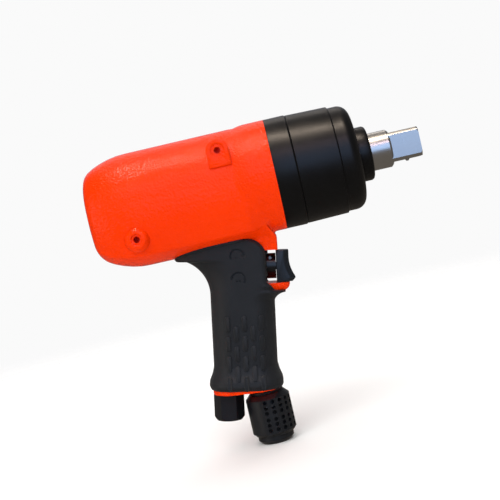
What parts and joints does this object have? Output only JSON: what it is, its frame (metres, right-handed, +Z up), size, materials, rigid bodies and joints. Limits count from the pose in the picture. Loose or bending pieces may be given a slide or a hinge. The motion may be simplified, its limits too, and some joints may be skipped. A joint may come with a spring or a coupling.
{
  "type": "impact wrench",
  "caption": "Pistol-grip pneumatic impact wrench with a square drive, a rubber-sleeved handle, a trigger, an air inlet and a swivelling perforated exhaust deflector.",
  "frame": {"origin": "centre of the square drive's front face, on the spindle axis", "axes": "+X forwards along the spindle, +Y to the tool's left, +Z up, with the handle hanging down and raked back"},
  "size_m": [0.2208, 0.0734, 0.2097],
  "materials": {
    "orange_enamel": "thick glossy textured enamel on an aluminium casting",
    "grip_rubber": "moulded matte rubber",
    "black_oxide": "satin black finish on turned steel",
    "ground_steel": "ground bright steel",
    "machined_steel": "machined steel",
    "trigger_nylon": "moulded satin nylon",
    "black_nylon": "moulded nylon",
    "deflector_nylon": "moulded semi-gloss glass-filled nylon",
    "black_zinc": "black plated steel",
    "bronze": "machined bronze",
    "seal_rubber": "moulded seal rubber",
    "felt": "pressed wool felt",
    "vane_phenolic": "cloth-reinforced phenolic",
    "spring_steel": "drawn spring wire"
  },
  "bodies": {
    "housing": {"motor_housing": "orange_enamel", "handle_grip": "grip_rubber", "clamp_ring": "black_oxide", "hammer_case": "black_oxide", "case_gasket": "seal_rubber", "anvil_bushing": "bronze", "nose_ring": "black_oxide", "anvil_oil_seal": "seal_rubber", "thrust_washer": "machined_steel", "front_end_plate": "machined_steel", "rear_end_plate": "machined_steel", "front_bearing_outer": "machined_steel", "rear_bearing_outer": "machined_steel", "motor_cylinder": "machined_steel", "cylinder_dowel": "machined_steel", "disc_spring": "spring_steel", "reverse_bushing": "bronze", "throttle_seat": "bronze", "throttle_spring": "spring_steel", "inlet_bushing": "black_zinc", "inlet_screen": "machined_steel", "inlet_seal_ring": "seal_rubber", "exhaust_adaptor": "black_zinc", "deflector_snap_ring": "spring_steel", "exhaust_felt": "felt"},
    "anvil": {"anvil": "ground_steel", "detent_spring": "spring_steel"},
    "detent_pin": {"detent_pin": "ground_steel"},
    "rotor": {"rotor": "machined_steel", "rotor_vanes": "vane_phenolic", "front_bearing_inner": "machined_steel", "rear_bearing_inner": "machined_steel", "hammer_cage": "machined_steel", "hammer_pins": "machined_steel"},
    "front_balls": {"front_bearing_balls": "machined_steel", "front_bearing_cage": "bronze"},
    "rear_balls": {"rear_bearing_balls": "machined_steel", "rear_bearing_cage": "bronze"},
    "front_hammer": {"front_hammer": "machined_steel"},
    "rear_hammer": {"rear_hammer": "machined_steel"},
    "trigger": {"trigger": "trigger_nylon", "trigger_stem": "machined_steel"},
    "throttle_valve": {"throttle_valve": "seal_rubber"},
    "reverse_valve": {"reverse_valve": "machined_steel", "reverse_collar": "black_nylon", "collar_pin": "machined_steel"},
    "deflector": {"exhaust_deflector": "deflector_nylon", "deflector_cap": "deflector_nylon", "silencer_liner": "felt"}
  },
  "joints": [
    {"name": "anvil_spin", "type": "hinge", "parent": "housing", "child": "anvil", "pos_m": [-0.03, 0, 0], "axis": [1, 0, 0], "continuous": true},
    {"name": "detent_press", "type": "slide", "parent": "anvil", "child": "detent_pin", "axis": [0, 0, 1], "range_m": [0, 0.0012], "stiffness_N_per_m": 600, "springref_m": -0.001, "deforming": ["detent_spring"]},
    {"name": "rotor_spin", "type": "hinge", "parent": "housing", "child": "rotor", "pos_m": [-0.16, 0, 0], "axis": [1, 0, 0], "continuous": true},
    {"name": "front_balls_spin", "type": "hinge", "parent": "housing", "child": "front_balls", "pos_m": [-0.1266, 0, 0], "axis": [1, 0, 0], "continuous": true},
    {"name": "rear_balls_spin", "type": "hinge", "parent": "housing", "child": "rear_balls", "pos_m": [-0.195, 0, 0], "axis": [1, 0, 0], "continuous": true},
    {"name": "front_hammer_swing", "type": "hinge", "parent": "rotor", "child": "front_hammer", "pos_m": [-0.072, 0, 0.0215], "axis": [1, 0, 0], "range_deg": [-7, 7]},
    {"name": "rear_hammer_swing", "type": "hinge", "parent": "rotor", "child": "rear_hammer", "pos_m": [-0.095, 0, -0.0215], "axis": [1, 0, 0], "range_deg": [-7, 7]},
    {"name": "trigger_pull", "type": "slide", "parent": "housing", "child": "trigger", "axis": [-0.9842, 0, 0.1771], "range_m": [0, 0.005], "stiffness_N_per_m": 1500, "springref_m": -0.003},
    {"name": "throttle_open", "type": "slide", "parent": "housing", "child": "throttle_valve", "axis": [-0.9842, 0, 0.1771], "range_m": [0, 0.005], "deforming": ["throttle_spring"]},
    {"name": "reverse_turn", "type": "hinge", "parent": "housing", "child": "reverse_valve", "pos_m": [-0.12231, 0, -0.0565], "axis": [0.9842, 0, -0.1771], "range_deg": [0, 70]},
    {"name": "deflector_swivel", "type": "hinge", "parent": "housing", "child": "deflector", "pos_m": [-0.1347, 0, -0.15], "axis": [0, 0, 1], "continuous": true}
  ],
  "couplings": [
    {"joint": "front_balls_spin", "follows": "rotor_spin", "ratio": 0.39},
    {"joint": "rear_balls_spin", "follows": "rotor_spin", "ratio": 0.39},
    {"joint": "throttle_open", "follows": "trigger_pull", "ratio": 1}
  ]
}
